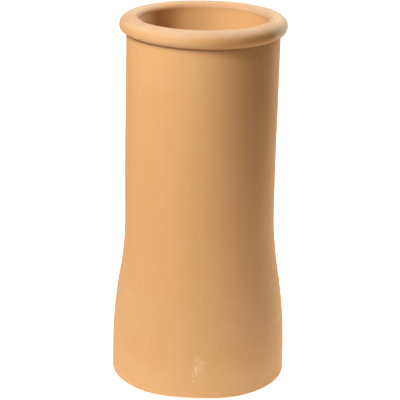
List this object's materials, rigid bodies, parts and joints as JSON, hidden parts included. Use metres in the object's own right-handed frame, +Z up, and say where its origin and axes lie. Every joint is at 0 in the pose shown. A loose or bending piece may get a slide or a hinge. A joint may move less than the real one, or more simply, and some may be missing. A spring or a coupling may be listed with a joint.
{
  "type": "chimney pot",
  "caption": "Roll-top chimney pot: round hollow fired-clay shaft with a full round roll at the top and an ogee swelling to a wider foot.",
  "frame": {"origin": "centre of the foot ring, on the surface that the pot stands on", "axes": "+Z up along the flue, from the foot to the roll; the pot is the same all round Z"},
  "size_m": [0.287, 0.287, 0.6],
  "materials": {
    "buff_clay": "matte"
  },
  "bodies": {
    "root": {"chimney_pot": "buff_clay"}
  },
  "joints": []
}
